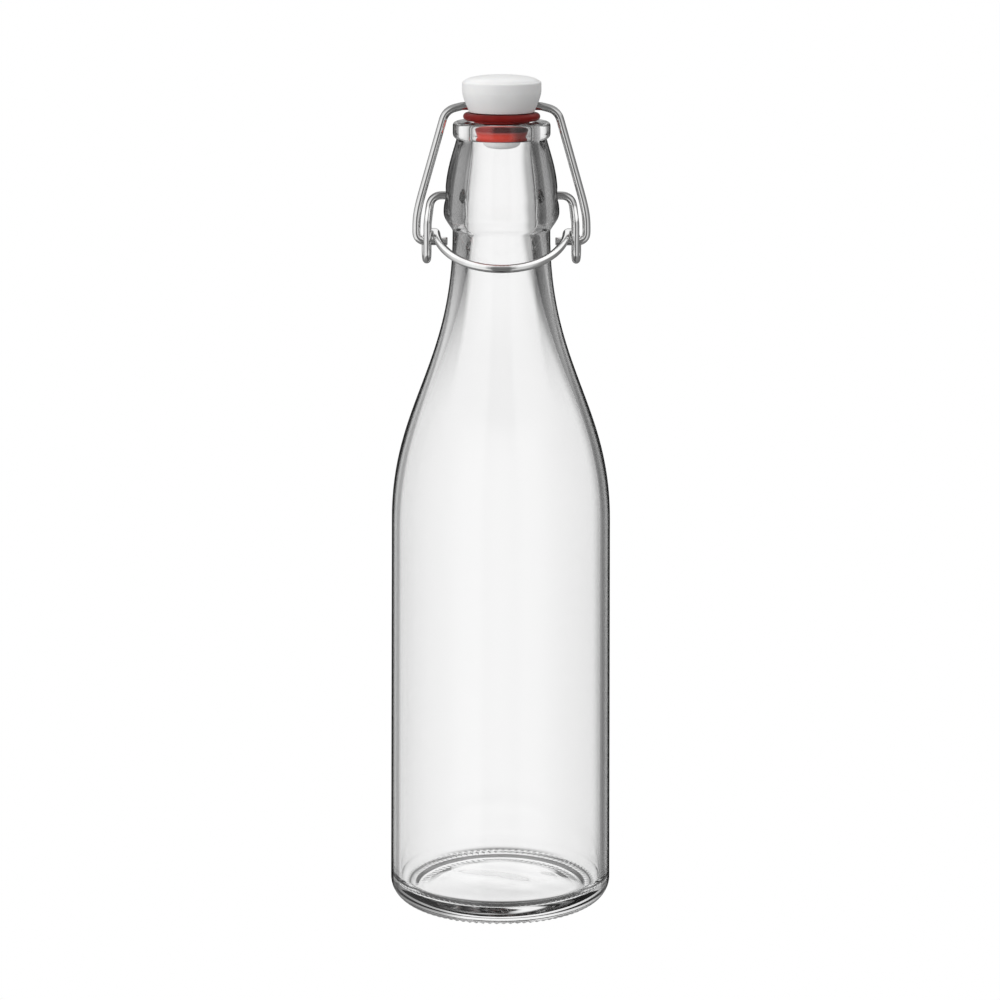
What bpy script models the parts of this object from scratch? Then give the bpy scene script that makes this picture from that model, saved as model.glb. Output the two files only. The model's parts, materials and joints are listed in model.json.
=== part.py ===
"""Clear glass swing-top bottle: bottle, stopper, gasket, bail wire and lever wire.

The origin is on the bottle's axis, in the plane that it stands on. +Z is up and -Y is the front,
the side where the lever's handle lies. Lengths are in millimetres in the named values below and
become metres through MM where the shapes are made. The closure is modelled closed.
"""

import math

import bmesh
import bpy
from mathutils import Vector

MM = 0.001
MERGE = 0.00001
SAME_POINT = 0.02
SMOOTH_ANGLE = math.radians(35)

# Glass: outside.
BODY_RADIUS = 35.0
HEEL_RADIUS = 6.3
STANDING_RING_INNER = 27.6
PUNT_HEIGHT = 2.6
SHOULDER_BOTTOM = 120.7
SHOULDER_TOP = 211.7
SHOULDER_LOWER_HANDLE = 36.5
SHOULDER_UPPER_HANDLE = 42.7
NECK_RADIUS = 15.7
COLLAR_BOTTOM = 216.6
COLLAR_RADIUS = 18.6
COLLAR_WAIST_RADIUS = 18.0
COLLAR_WAIST_HEIGHT = 226.0
LIP_UNDERCUT_HEIGHT = 242.4
LIP_UNDERCUT_RADIUS = 14.5
LIP_RADIUS = 15.7
LIP_TOP = 248.0
LIP_FACE_RADIUS = 13.4

# Glass: inside.
WALL = 3.0
NECK_WALL = 6.3
WALL_GROWTH = 4.7
FLOOR_HEIGHT = 5.6
FLOOR_CROWN = 1.4
FLOOR_CORNER = 3.6
FLOOR_CROWN_RADIUS = 11.25
BORE_RADIUS = 9.5
MOUTH_ROUNDING = 1.5
CAVITY_RADIUS = 11.0
CAVITY_WIDEST_HEIGHT = 217.5
CAVITY_TOP = 240.0

# Wire closure.
WIRE_RADIUS = 1.3
PIVOT_HEIGHT = 224.1
HOOK_HEIGHT = 209.4
TOP_WIRE_HEIGHT = 252.8
DIMPLE_RADIUS = 1.7
DIMPLE_MOUTH_RADIUS = 2.7
DIMPLE_DEPTH = 3.3
LEVER_TIP = 15.5
LEVER_ELBOW = 3.4
LEVER_LEG = 23.7
LEVER_LEG_LEAN = 0.7
LEVER_LEG_STEPS = 5
LOOP_RADIUS = 2.9
LOOP_BOTTOM = 204.5
LOOP_REAR = 24.4
LOOP_INNER = 20.9
LOOP_CROSSING = math.radians(118)
HANDLE_DROOP = math.radians(23)
HANDLE_REACH = 22.2
BAIL_SIDE = 27.3
BAIL_HOOK_BEND = 2.6
BAIL_HOOK_END = 17.3
BAIL_WIDEST_HEIGHT = 216.0
BAIL_BELLY_TOP = (25.7, 224.0)
BAIL_TOP_CORNER = (18.0, 251.4)
BAIL_TOP_BEND = 2.8
BAIL_TOP_ENTRY = 12.6

# Stopper and gasket.
HEAD_BOTTOM = 250.95
HEAD_BOTTOM_RADIUS = 10.6
HEAD_RADIUS = 12.75
HEAD_SHOULDER = 257.6
HEAD_EDGE = 260.9
HEAD_EDGE_ROUNDING = 0.7
HEAD_CROWN = 1.9
WIRE_HOLE_RADIUS = 1.5
STEM_RADIUS = 3.4
FOOT_RADIUS = 6.2
FOOT_TOP = 241.2
FOOT_BOTTOM = 238.3
FOOT_ROUNDING = 2.0
GASKET_HOLE_RADIUS = 3.7
GASKET_RADIUS = 12.4
GASKET_TOP = 250.7
GASKET_BOTTOM = 248.3
GASKET_SKIRT_RADIUS = 9.0
GASKET_SKIRT_LOWER_RADIUS = 7.2
GASKET_SKIRT_BOTTOM = 241.5

# Facets around each turned piece, and sides of a wire (bevel resolution).
BOTTLE_STEPS = 40
STOPPER_STEPS = 32
WIRE_RESOLUTION = 2


def bezier(start, handle_a, handle_b, end, count):
    """Points along a cubic curve in the plane of the profile, both ends included."""
    points = []
    for index in range(count + 1):
        t = index / count
        s = 1 - t
        weights = (s ** 3, 3 * s * s * t, 3 * s * t * t, t ** 3)
        corners = (start, handle_a, handle_b, end)
        points.append(tuple(sum(w * c[axis] for w, c in zip(weights, corners)) for axis in (0, 1)))
    return points


def arc(center, radius, start_degrees, end_degrees, count):
    """Points along a circular arc in the plane of the profile, both ends included."""
    points = []
    for index in range(count + 1):
        angle = math.radians(start_degrees + (end_degrees - start_degrees) * index / count)
        points.append((center[0] + radius * math.cos(angle), center[1] + radius * math.sin(angle)))
    return points


def without_repeats(points):
    """The same points, less each one that lies on the one before it."""
    kept = [points[0]]
    for point in points[1:]:
        if math.dist(point, kept[-1]) > SAME_POINT:
            kept.append(point)
    return kept


def make_material(name, color, roughness, metallic=0.0, transmission=0.0):
    material = bpy.data.materials.new(name)
    material.use_nodes = True
    shader = material.node_tree.nodes["Principled BSDF"]
    shader.inputs["Base Color"].default_value = (*color, 1.0)
    shader.inputs["Roughness"].default_value = roughness
    shader.inputs["Metallic"].default_value = metallic
    shader.inputs["Transmission Weight"].default_value = transmission
    return material


def shade_round(mesh):
    mesh.shade_smooth()
    mesh.set_sharp_from_angle(angle=SMOOTH_ANGLE)


def turned_piece(name, profile, steps, material, collection):
    """A solid of revolution about Z from (radius, height) points that run down its outer side."""
    mesh = bpy.data.meshes.new(name)
    vertices = [(radius * MM, 0.0, height * MM) for radius, height in without_repeats(profile)]
    edges = [(index, index + 1) for index in range(len(vertices) - 1)]
    mesh.from_pydata(vertices, edges, [])
    piece = bpy.data.objects.new(name, mesh)
    collection.objects.link(piece)
    screw = piece.modifiers.new("turn", "SCREW")
    screw.steps = steps
    screw.render_steps = steps
    screw.use_merge_vertices = True
    screw.merge_threshold = MERGE
    mesh.materials.append(material)
    return piece


def apply_modifiers(piece):
    """Replace the object's mesh by its evaluated one and shade it round."""
    depsgraph = bpy.context.evaluated_depsgraph_get()
    mesh = bpy.data.meshes.new_from_object(piece.evaluated_get(depsgraph))
    piece.modifiers.clear()
    piece.data = mesh
    shade_round(mesh)


def cut(piece, cutter):
    boolean = piece.modifiers.new("cut", "BOOLEAN")
    boolean.operation = "DIFFERENCE"
    boolean.object = cutter
    boolean.solver = "EXACT"


def cone_cutter(name, small_radius, large_radius, depth, location, direction, collection):
    """A cone whose large end faces along direction, hidden from renders."""
    bpy.ops.mesh.primitive_cone_add(
        vertices=20,
        radius1=small_radius * MM,
        radius2=large_radius * MM,
        depth=depth * MM,
        location=Vector(location) * MM,
        rotation=Vector(direction).to_track_quat("Z", "Y").to_euler(),
    )
    cutter = bpy.context.object
    cutter.name = name
    for owner in list(cutter.users_collection):
        owner.objects.unlink(cutter)
    collection.objects.link(cutter)
    cutter.hide_render = True
    cutter.display_type = "WIRE"
    return cutter


def wire_piece(name, path, pivot_height, material, collection):
    """A round wire along a path in millimetres, with its origin on its joint's axis."""
    curve = bpy.data.curves.new(name, "CURVE")
    curve.dimensions = "3D"
    curve.bevel_depth = WIRE_RADIUS * MM
    curve.bevel_resolution = WIRE_RESOLUTION
    curve.use_fill_caps = True
    spline = curve.splines.new("POLY")
    spline.points.add(len(path) - 1)
    for point, place in zip(spline.points, path):
        point.co = (place[0] * MM, place[1] * MM, (place[2] - pivot_height) * MM, 1.0)
    guide = bpy.data.objects.new(name + "_path", curve)
    collection.objects.link(guide)
    guide.location = (0.0, 0.0, pivot_height * MM)
    bpy.context.view_layer.update()

    depsgraph = bpy.context.evaluated_depsgraph_get()
    mesh = bpy.data.meshes.new_from_object(guide.evaluated_get(depsgraph))
    weld = bmesh.new()
    weld.from_mesh(mesh)
    bmesh.ops.remove_doubles(weld, verts=weld.verts, dist=MERGE)
    bmesh.ops.recalc_face_normals(weld, faces=weld.faces)
    weld.to_mesh(mesh)
    weld.free()
    mesh.materials.clear()
    mesh.materials.append(material)
    shade_round(mesh)

    piece = bpy.data.objects.new(name, mesh)
    collection.objects.link(piece)
    piece.matrix_world = guide.matrix_world
    bpy.data.objects.remove(guide)
    return piece


def mirrored_path(half):
    """A whole path from its +X half, which starts at the tip and ends on the YZ plane."""
    other = [(-x, y, z) for x, y, z in reversed(half[:-1])]
    return half + other


def outer_shoulder():
    """The glass from the top of the neck down to the body, as one S-curve."""
    return bezier(
        (NECK_RADIUS, SHOULDER_TOP),
        (NECK_RADIUS, SHOULDER_TOP - SHOULDER_UPPER_HANDLE),
        (BODY_RADIUS, SHOULDER_BOTTOM + SHOULDER_LOWER_HANDLE),
        (BODY_RADIUS, SHOULDER_BOTTOM),
        14,
    )


def inner_shoulder():
    """The shoulder moved inward by a wall that grows thick towards the neck."""
    outer = outer_shoulder()
    inner = []
    for index, (radius, height) in enumerate(outer):
        before = outer[max(index - 1, 0)]
        after = outer[min(index + 1, len(outer) - 1)]
        along = Vector((after[0] - before[0], after[1] - before[1])).normalized()
        share = 1 - index / (len(outer) - 1)
        wall = WALL + (NECK_WALL - WALL) * share ** WALL_GROWTH
        inner.append((radius + along.y * wall, height - along.x * wall))
    return inner


def bottle_outside():
    """From the face of the lip down to the middle of the punt.

    The middle two points of each curve are its handles, set from the points that it joins.
    """
    collar = bezier(
        (LIP_UNDERCUT_RADIUS, LIP_UNDERCUT_HEIGHT),
        (LIP_UNDERCUT_RADIUS + 0.8, LIP_UNDERCUT_HEIGHT - 3.5),
        (COLLAR_WAIST_RADIUS - 0.3, COLLAR_WAIST_HEIGHT + 7.0),
        (COLLAR_WAIST_RADIUS, COLLAR_WAIST_HEIGHT),
        7,
    )
    collar_edge = bezier(
        (COLLAR_WAIST_RADIUS, COLLAR_WAIST_HEIGHT),
        (COLLAR_WAIST_RADIUS, COLLAR_WAIST_HEIGHT - 3.5),
        (COLLAR_RADIUS, COLLAR_BOTTOM + 5.0),
        (COLLAR_RADIUS, COLLAR_BOTTOM + 2.2),
        4,
    )
    ledge = bezier(
        (COLLAR_RADIUS, COLLAR_BOTTOM + 2.2),
        (COLLAR_RADIUS, COLLAR_BOTTOM - 0.2),
        (NECK_RADIUS + 0.5, COLLAR_BOTTOM - 2.3),
        (NECK_RADIUS, COLLAR_BOTTOM - 3.7),
        6,
    )
    lip = bezier(
        (LIP_FACE_RADIUS, LIP_TOP),
        (LIP_RADIUS - 0.7, LIP_TOP),
        (LIP_RADIUS, LIP_TOP - 0.4),
        (LIP_RADIUS, LIP_TOP - 1.5),
        5,
    )
    lip_under = bezier(
        (LIP_RADIUS, LIP_UNDERCUT_HEIGHT + 1.9),
        (LIP_RADIUS, LIP_UNDERCUT_HEIGHT + 0.8),
        (LIP_UNDERCUT_RADIUS + 0.6, LIP_UNDERCUT_HEIGHT + 0.1),
        (LIP_UNDERCUT_RADIUS, LIP_UNDERCUT_HEIGHT),
        4,
    )
    heel_center = (BODY_RADIUS - HEEL_RADIUS, HEEL_RADIUS)
    heel = arc(heel_center, HEEL_RADIUS, 0, -90, 7)
    punt = bezier(
        (STANDING_RING_INNER, 0.0),
        (STANDING_RING_INNER - 2.4, PUNT_HEIGHT * 0.3),
        (STANDING_RING_INNER * 0.75, PUNT_HEIGHT),
        (0.0, PUNT_HEIGHT),
        6,
    )
    return lip + lip_under + collar + collar_edge + ledge + outer_shoulder() + heel + punt


def bottle_inside():
    """From the middle of the floor up to the face of the lip."""
    wall_radius = BODY_RADIUS - WALL
    floor_corner_center = (wall_radius - FLOOR_CORNER, FLOOR_HEIGHT + FLOOR_CORNER)
    floor = [(0.0, FLOOR_HEIGHT + FLOOR_CROWN), (FLOOR_CROWN_RADIUS, FLOOR_HEIGHT + FLOOR_CROWN * 0.8)]
    corner = arc(floor_corner_center, FLOOR_CORNER, -90, 0, 6)
    shoulder = list(reversed(inner_shoulder()))
    neck_radius = NECK_RADIUS - NECK_WALL
    cavity_bottom = bezier(
        (neck_radius, SHOULDER_TOP),
        (neck_radius, SHOULDER_TOP + 2.2),
        (CAVITY_RADIUS, CAVITY_WIDEST_HEIGHT - 2.8),
        (CAVITY_RADIUS, CAVITY_WIDEST_HEIGHT),
        5,
    )
    cavity = bezier(
        (CAVITY_RADIUS, CAVITY_WIDEST_HEIGHT),
        (CAVITY_RADIUS, CAVITY_WIDEST_HEIGHT + 8.5),
        (BORE_RADIUS, CAVITY_TOP - 8.5),
        (BORE_RADIUS, CAVITY_TOP),
        7,
    )
    mouth_center = (BORE_RADIUS + MOUTH_ROUNDING, LIP_TOP - MOUTH_ROUNDING)
    mouth = arc(mouth_center, MOUTH_ROUNDING, 180, 90, 4)
    return floor + corner + shoulder + cavity_bottom + cavity + mouth


def make_bottle(collection, cutters):
    glass = make_material("clear_glass", (0.97, 0.98, 0.98), 0.02, transmission=1.0)
    profile = bottle_inside() + bottle_outside()
    bottle = turned_piece("bottle", profile, BOTTLE_STEPS, glass, collection)
    apply_modifiers(bottle)
    for side in (1, -1):
        middle = COLLAR_WAIST_RADIUS - DIMPLE_DEPTH / 2 + 0.5
        growth = (DIMPLE_MOUTH_RADIUS - DIMPLE_RADIUS) / DIMPLE_DEPTH
        cutter = cone_cutter(
            "dimple_cutter_" + ("right" if side > 0 else "left"),
            DIMPLE_RADIUS,
            DIMPLE_MOUTH_RADIUS + growth,
            DIMPLE_DEPTH + 1.0,
            (side * middle, 0.0, PIVOT_HEIGHT),
            (side, 0.0, 0.0),
            cutters,
        )
        cut(bottle, cutter)
    return bottle


def make_stopper(collection, cutters):
    white = make_material("white_plastic", (0.9, 0.9, 0.9), 0.35)
    crown = bezier(
        (0.0, HEAD_EDGE + HEAD_CROWN),
        (HEAD_RADIUS * 0.5, HEAD_EDGE + HEAD_CROWN),
        (HEAD_RADIUS * 0.88, HEAD_EDGE + HEAD_CROWN * 0.65),
        (HEAD_RADIUS - HEAD_EDGE_ROUNDING, HEAD_EDGE),
        6,
    )
    edge_center = (HEAD_RADIUS - HEAD_EDGE_ROUNDING, HEAD_EDGE - HEAD_EDGE_ROUNDING)
    edge = arc(edge_center, HEAD_EDGE_ROUNDING, 75, 0, 3)
    side = bezier(
        (HEAD_RADIUS, HEAD_SHOULDER),
        (HEAD_RADIUS - 0.2, HEAD_SHOULDER - 2.2),
        (HEAD_BOTTOM_RADIUS + 0.7, HEAD_BOTTOM + 2.0),
        (HEAD_BOTTOM_RADIUS, HEAD_BOTTOM + 0.3),
        5,
    )
    underside = [(HEAD_BOTTOM_RADIUS - 0.3, HEAD_BOTTOM), (STEM_RADIUS, HEAD_BOTTOM)]
    foot_center = (FOOT_RADIUS - FOOT_ROUNDING, FOOT_BOTTOM + FOOT_ROUNDING)
    foot = [(STEM_RADIUS, FOOT_TOP), (FOOT_RADIUS, FOOT_TOP)]
    foot += arc(foot_center, FOOT_ROUNDING, 0, -90, 4) + [(0.0, FOOT_BOTTOM)]
    profile = crown + edge + side + underside + foot
    stopper = turned_piece("stopper", profile, STOPPER_STEPS, white, collection)
    apply_modifiers(stopper)
    hole = cone_cutter(
        "wire_hole_cutter",
        WIRE_HOLE_RADIUS,
        WIRE_HOLE_RADIUS,
        4 * HEAD_RADIUS,
        (0.0, 0.0, TOP_WIRE_HEIGHT),
        (1.0, 0.0, 0.0),
        cutters,
    )
    cut(stopper, hole)
    return stopper


def make_gasket(collection):
    rubber = make_material("red_rubber", (0.55, 0.05, 0.03), 0.45)
    ring_middle = (GASKET_TOP + GASKET_BOTTOM) / 2
    ring_rounding = (GASKET_TOP - GASKET_BOTTOM) / 2
    ring = arc((GASKET_RADIUS - ring_rounding, ring_middle), ring_rounding, 90, -90, 8)
    hole_top = (GASKET_HOLE_RADIUS, GASKET_TOP)
    skirt = bezier(
        (GASKET_SKIRT_RADIUS, GASKET_BOTTOM),
        (GASKET_SKIRT_RADIUS, GASKET_BOTTOM - 2.5),
        (GASKET_SKIRT_LOWER_RADIUS + 0.9, GASKET_SKIRT_BOTTOM + 2.5),
        (GASKET_SKIRT_LOWER_RADIUS, GASKET_SKIRT_BOTTOM + 0.9),
        5,
    )
    lower_edge = [
        (GASKET_SKIRT_LOWER_RADIUS - 0.9, GASKET_SKIRT_BOTTOM),
        (GASKET_HOLE_RADIUS, GASKET_SKIRT_BOTTOM),
    ]
    profile = [hole_top] + ring + skirt + lower_edge + [hole_top]
    gasket = turned_piece("gasket", profile, STOPPER_STEPS, rubber, collection)
    apply_modifiers(gasket)
    weld = bmesh.new()
    weld.from_mesh(gasket.data)
    bmesh.ops.remove_doubles(weld, verts=weld.verts, dist=MERGE)
    weld.to_mesh(gasket.data)
    weld.free()
    return gasket


def bail_path():
    """From the tip of the +X hook, up the side and across to the middle of the stopper."""
    bend_center = (BAIL_SIDE - BAIL_HOOK_BEND, HOOK_HEIGHT + BAIL_HOOK_BEND)
    hook = [(BAIL_HOOK_END, HOOK_HEIGHT)] + arc(bend_center, BAIL_HOOK_BEND, -90, 0, 6)
    belly = bezier(
        (BAIL_SIDE, BAIL_WIDEST_HEIGHT - 2.0),
        (BAIL_SIDE, BAIL_WIDEST_HEIGHT + 2.0),
        (BAIL_SIDE - 0.7, BAIL_WIDEST_HEIGHT + 4.5),
        BAIL_BELLY_TOP,
        6,
    )
    corner = Vector(BAIL_TOP_CORNER)
    side_start = Vector(belly[-1])
    entry = Vector((BAIL_TOP_ENTRY, TOP_WIRE_HEIGHT))
    before = corner + (side_start - corner).normalized() * BAIL_TOP_BEND
    after = corner + (entry - corner).normalized() * BAIL_TOP_BEND
    top_bend = bezier(before, before.lerp(corner, 0.6), after.lerp(corner, 0.6), after, 6)
    half = hook + belly + top_bend + [tuple(entry), (HEAD_BOTTOM_RADIUS, TOP_WIRE_HEIGHT)]
    return [(x, 0.0, z) for x, z in without_repeats(half)] + [(0.0, 0.0, TOP_WIRE_HEIGHT)]


def ease(share):
    """A smooth rise from 0 to 1."""
    share = min(max(share, 0.0), 1.0)
    return share * share * (3 - 2 * share)


def lever_path():
    """From the tip in the +X dimple, down the leg, once round the hook and along the handle."""
    elbow_center = (LEVER_LEG - LEVER_LEG_LEAN - LEVER_ELBOW, PIVOT_HEIGHT - LEVER_ELBOW)
    elbow = arc(elbow_center, LEVER_ELBOW, 90, 8, 6)
    path = [(LEVER_TIP, 0.0, PIVOT_HEIGHT)]
    path += [(x, 0.0, z) for x, z in elbow]

    leg_top = elbow[-1][1]
    loop_center = LOOP_BOTTOM + LOOP_RADIUS
    leg_bottom_of_bend = HOOK_HEIGHT + LOOP_RADIUS + 2.2 * WIRE_RADIUS
    for index in range(1, LEVER_LEG_STEPS + 1):
        share = index / LEVER_LEG_STEPS
        x = LEVER_LEG - LEVER_LEG_LEAN * (1 - share)
        z = leg_top + (leg_bottom_of_bend - leg_top) * share
        path.append((x, -LOOP_RADIUS * ease(share), z))

    for index in range(9):
        angle = math.pi * index / 8
        x = LEVER_LEG + (LOOP_REAR - LEVER_LEG) * ease(index / 8)
        path.append((x, -LOOP_RADIUS * math.cos(angle), loop_center - LOOP_RADIUS * math.sin(angle)))

    loop_end = math.pi / 2 + HANDLE_DROOP
    for index in range(10):
        angle = loop_end * index / 9
        x = LOOP_REAR + (LOOP_INNER - LOOP_REAR) * ease(angle / LOOP_CROSSING)
        path.append((x, LOOP_RADIUS * math.cos(angle), HOOK_HEIGHT + LOOP_RADIUS * math.sin(angle)))

    start_y, start_z = path[-1][1], path[-1][2]
    arch = bezier(
        (path[-1][0], 0.0),
        (LOOP_INNER - 0.2, HANDLE_REACH * 0.36),
        (LOOP_INNER * 0.68, HANDLE_REACH),
        (0.0, HANDLE_REACH),
        12,
    )
    for x, reach in arch[1:]:
        y = start_y - reach * math.cos(HANDLE_DROOP)
        path.append((x, y, start_z - reach * math.sin(HANDLE_DROOP)))
    return path


def main():
    for leftover in list(bpy.data.objects):
        bpy.data.objects.remove(leftover, do_unlink=True)

    parts = bpy.data.collections.new("swing_top_bottle")
    cutters = bpy.data.collections.new("cutters")
    bpy.context.scene.collection.children.link(parts)
    bpy.context.scene.collection.children.link(cutters)

    make_bottle(parts, cutters)

    steel = make_material("bright_steel_wire", (0.75, 0.75, 0.74), 0.18, metallic=1.0)
    wire_piece("lever_wire", mirrored_path(lever_path()), PIVOT_HEIGHT, steel, parts)
    wire_piece("bail_wire", mirrored_path(bail_path()), HOOK_HEIGHT, steel, parts)

    stopper_pivot = bpy.data.objects.new("stopper_pivot", None)
    stopper_pivot.location = (0.0, 0.0, TOP_WIRE_HEIGHT * MM)
    parts.objects.link(stopper_pivot)
    bpy.context.view_layer.update()
    for piece in (make_stopper(parts, cutters), make_gasket(parts)):
        piece.parent = stopper_pivot
        piece.matrix_parent_inverse = stopper_pivot.matrix_world.inverted()


main()
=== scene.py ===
"""The looks of a clear glass swing-top bottle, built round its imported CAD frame.

Lengths in the named values are in millimetres and become metres through MM. What the frame
shows is read from it: the pieces' boxes and the joints' heights. Most other sizes are the CAD
part's own. The curves are finer, and the ridges and waves of the base are added.
"""

import json
import math

import bmesh
import bpy
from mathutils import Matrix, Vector


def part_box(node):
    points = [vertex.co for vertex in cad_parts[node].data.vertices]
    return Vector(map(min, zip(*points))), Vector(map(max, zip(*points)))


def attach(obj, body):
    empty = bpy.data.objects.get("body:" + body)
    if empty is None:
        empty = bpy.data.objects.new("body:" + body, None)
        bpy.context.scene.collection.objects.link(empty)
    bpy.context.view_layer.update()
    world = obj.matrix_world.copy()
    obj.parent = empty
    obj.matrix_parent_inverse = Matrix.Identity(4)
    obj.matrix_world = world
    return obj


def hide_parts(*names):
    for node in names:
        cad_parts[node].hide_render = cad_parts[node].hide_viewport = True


MM = 0.001
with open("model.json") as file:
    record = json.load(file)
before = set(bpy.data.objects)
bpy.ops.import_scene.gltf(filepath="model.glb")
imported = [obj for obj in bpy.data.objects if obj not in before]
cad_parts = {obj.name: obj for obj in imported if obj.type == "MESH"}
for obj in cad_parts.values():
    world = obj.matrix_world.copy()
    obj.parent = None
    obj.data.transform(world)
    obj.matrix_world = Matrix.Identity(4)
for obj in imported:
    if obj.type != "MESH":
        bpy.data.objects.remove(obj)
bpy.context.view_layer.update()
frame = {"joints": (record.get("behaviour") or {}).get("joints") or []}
JOINT_HEIGHT = {j["name"]: j["pos_m"][2] / MM for j in frame["joints"]}


def low_corner(node):
    """A CAD node's lowest corner, in millimetres."""
    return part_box(node)[0] / MM


def high_corner(node):
    """A CAD node's highest corner, in millimetres."""
    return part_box(node)[1] / MM


# Points closer to each other, or to the axis, than these count as one.
SAME_POINT = 0.02
ON_AXIS = 1e-6

# Glass: outside. Heights are from the standing plane, radii from the axis.
BODY_RADIUS = high_corner("bottle").x
LIP_TOP = high_corner("bottle").z
HEEL_RADIUS = 6.3
STANDING_RING_INNER = 27.6
PUNT_HEIGHT = 2.6
SHOULDER_BOTTOM = 120.7
SHOULDER_TOP = 211.7
SHOULDER_LOWER_HANDLE = 36.5
SHOULDER_UPPER_HANDLE = 42.7
NECK_RADIUS = 15.7
LEDGE_BOTTOM = 212.9
COLLAR_BOTTOM = 216.6
LEDGE_TOP = 218.8
COLLAR_RADIUS = 18.6
COLLAR_WAIST_RADIUS = 18.0
COLLAR_WAIST_HEIGHT = 226.0
LIP_UNDERCUT_HEIGHT = 242.4
LIP_UNDERCUT_RADIUS = 14.5
LIP_BEAD_BOTTOM = 244.3
LIP_EDGE_DEPTH = 1.5
LIP_RADIUS = 15.7
LIP_FACE_RADIUS = 13.4

# Glass: inside.
WALL = 3.0
NECK_WALL = 6.3
WALL_GROWTH = 4.7
FLOOR_HEIGHT = 5.6
FLOOR_CROWN = 1.4
FLOOR_CORNER = 3.6
FLOOR_CORNER_RADIUS = BODY_RADIUS - WALL - FLOOR_CORNER
BORE_RADIUS = 9.5
MOUTH_ROUNDING = 1.5
CAVITY_RADIUS = 11.0
CAVITY_WIDEST_HEIGHT = 217.5
CAVITY_TOP = 240.0

# Glass: fine shape.
GLASS_STEPS = 360
SHOULDER_STEPS = 50
KNURLS = 90
KNURL_DEPTH = 0.7
KNURL_INNER = 26.6
KNURL_OUTER = 33.4
KNURL_TOP = 2.6
FLOOR_WAVES = 0.12
FLOOR_MARGIN = 0.1
DIMPLE_FLOOR_RADIUS = 1.7
DIMPLE_RADIUS = 2.7
DIMPLE_DEPTH = 3.3
# At the dimples' height, only the collar's outside is farther out than this.
COLLAR_OUTSIDE_FROM = BORE_RADIUS + 3

# Wires.
WIRE_RADIUS = (high_corner("bail_wire").y - low_corner("bail_wire").y) / 2
WIRE_SIDES = 32
WIRE_SPACING = 0.3
WIRE_SOFTENING = 6
WIRE_END_ROUNDING = 0.3
WIRE_END_STEPS = (0.35, 0.75, 1.0)
WIRE_UV = "wire"
PIVOT_HEIGHT = JOINT_HEIGHT["lever_pivot"]
HOOK_HEIGHT = JOINT_HEIGHT["bail_hook"]
TOP_WIRE_HEIGHT = JOINT_HEIGHT["stopper_swivel"]
LEVER_TIP = 15.5
LEVER_ELBOW = 3.4
LOOP_RADIUS = 2.9
LOOP_SPREAD = 0.7
LEVER_LEG = high_corner("lever_wire").x - WIRE_RADIUS - LOOP_SPREAD
LEG_LEAN = 0.7
LEG_BOTTOM = HOOK_HEIGHT + LOOP_RADIUS + 2.2 * WIRE_RADIUS
LEG_STEPS = 24
LOOP_BOTTOM = low_corner("lever_wire").z + WIRE_RADIUS
LOOP_REAR = LEVER_LEG + LOOP_SPREAD
LOOP_INNER = LEVER_LEG - 2.8
LOOP_CROSSING = math.radians(118)
UNDER_HOOK_STEPS = 12
OVER_HOOK_STEPS = 14
HANDLE_DROOP = math.radians(23)
HANDLE_REACH = 22.2
BAIL_SIDE = high_corner("bail_wire").x - WIRE_RADIUS
BAIL_HOOK_BEND = 2.6
BAIL_HOOK_END = 17.3
BAIL_WIDEST_HEIGHT = 216.0
BAIL_TOP_CORNER = (18.0, 251.4)
BAIL_TOP_BEND = 2.8
BAIL_TOP_ENTRY = 12.6
BAIL_POINT_SPACING = 0.3

# Stopper and gasket.
STOPPER_STEPS = 128
HEAD_RADIUS = high_corner("stopper").x
HEAD_TOP = high_corner("stopper").z
HEAD_CROWN = 1.9
HEAD_EDGE = HEAD_TOP - HEAD_CROWN
HEAD_EDGE_ROUNDING = 0.7
HEAD_SHOULDER = HEAD_TOP - 5.2
HEAD_BOTTOM = high_corner("gasket").z + 0.25
HEAD_BOTTOM_RADIUS = 10.6
HEAD_BOTTOM_ROUNDING = 0.3
WIRE_HOLE_RADIUS = 1.5
WIRE_HOLE_SIDES = 40
STEM_RADIUS = 3.4
FOOT_RADIUS = 6.2
FOOT_TOP = 241.2
FOOT_TOP_BEVEL = 0.2
FOOT_BOTTOM = low_corner("stopper").z
FOOT_ROUNDING = 2.0
GASKET_RADIUS = high_corner("gasket").x
GASKET_TOP = high_corner("gasket").z
GASKET_RING_BOTTOM = LIP_TOP + 0.3
GASKET_SKIRT_BOTTOM = low_corner("gasket").z
GASKET_SKIRT_ROUNDING = 0.9
GASKET_HOLE_RADIUS = 3.7
GASKET_SKIRT_RADIUS = 9.0
GASKET_SKIRT_LOWER_RADIUS = 7.2

# Edges that turn by more than these degrees stay sharp.
GLASS_SHARP_ANGLE = 60
SHARP_ANGLE = 50
HOLE_SHARP_ANGLE = 40

# Camera, as a view camera: level, above the bottle, with the picture shifted down.
PICTURE_WIDTH_AT_AXIS = 321.1
CAMERA_DISTANCE = 1060.0
CAMERA_HEIGHT = 345.0
CAMERA_HEIGHT_TOLERANCE = 0.1
PICTURE_MIDDLE_HEIGHT = 126.3
PICTURE_MIDDLE_X = -0.72
CAMERA_ROLL = math.radians(-0.11)
SENSOR = 36.0


# Curves in the plane of a profile -----------------------------------------------------------


def bezier(start, handle_a, handle_b, end, steps):
    """Points along a cubic curve, both ends included."""
    points = []
    for index in range(steps + 1):
        t = index / steps
        s = 1 - t
        weights = (s ** 3, 3 * s * s * t, 3 * s * t * t, t ** 3)
        corners = (start, handle_a, handle_b, end)
        points.append(tuple(sum(w * c[axis] for w, c in zip(weights, corners)) for axis in (0, 1)))
    return points


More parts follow.
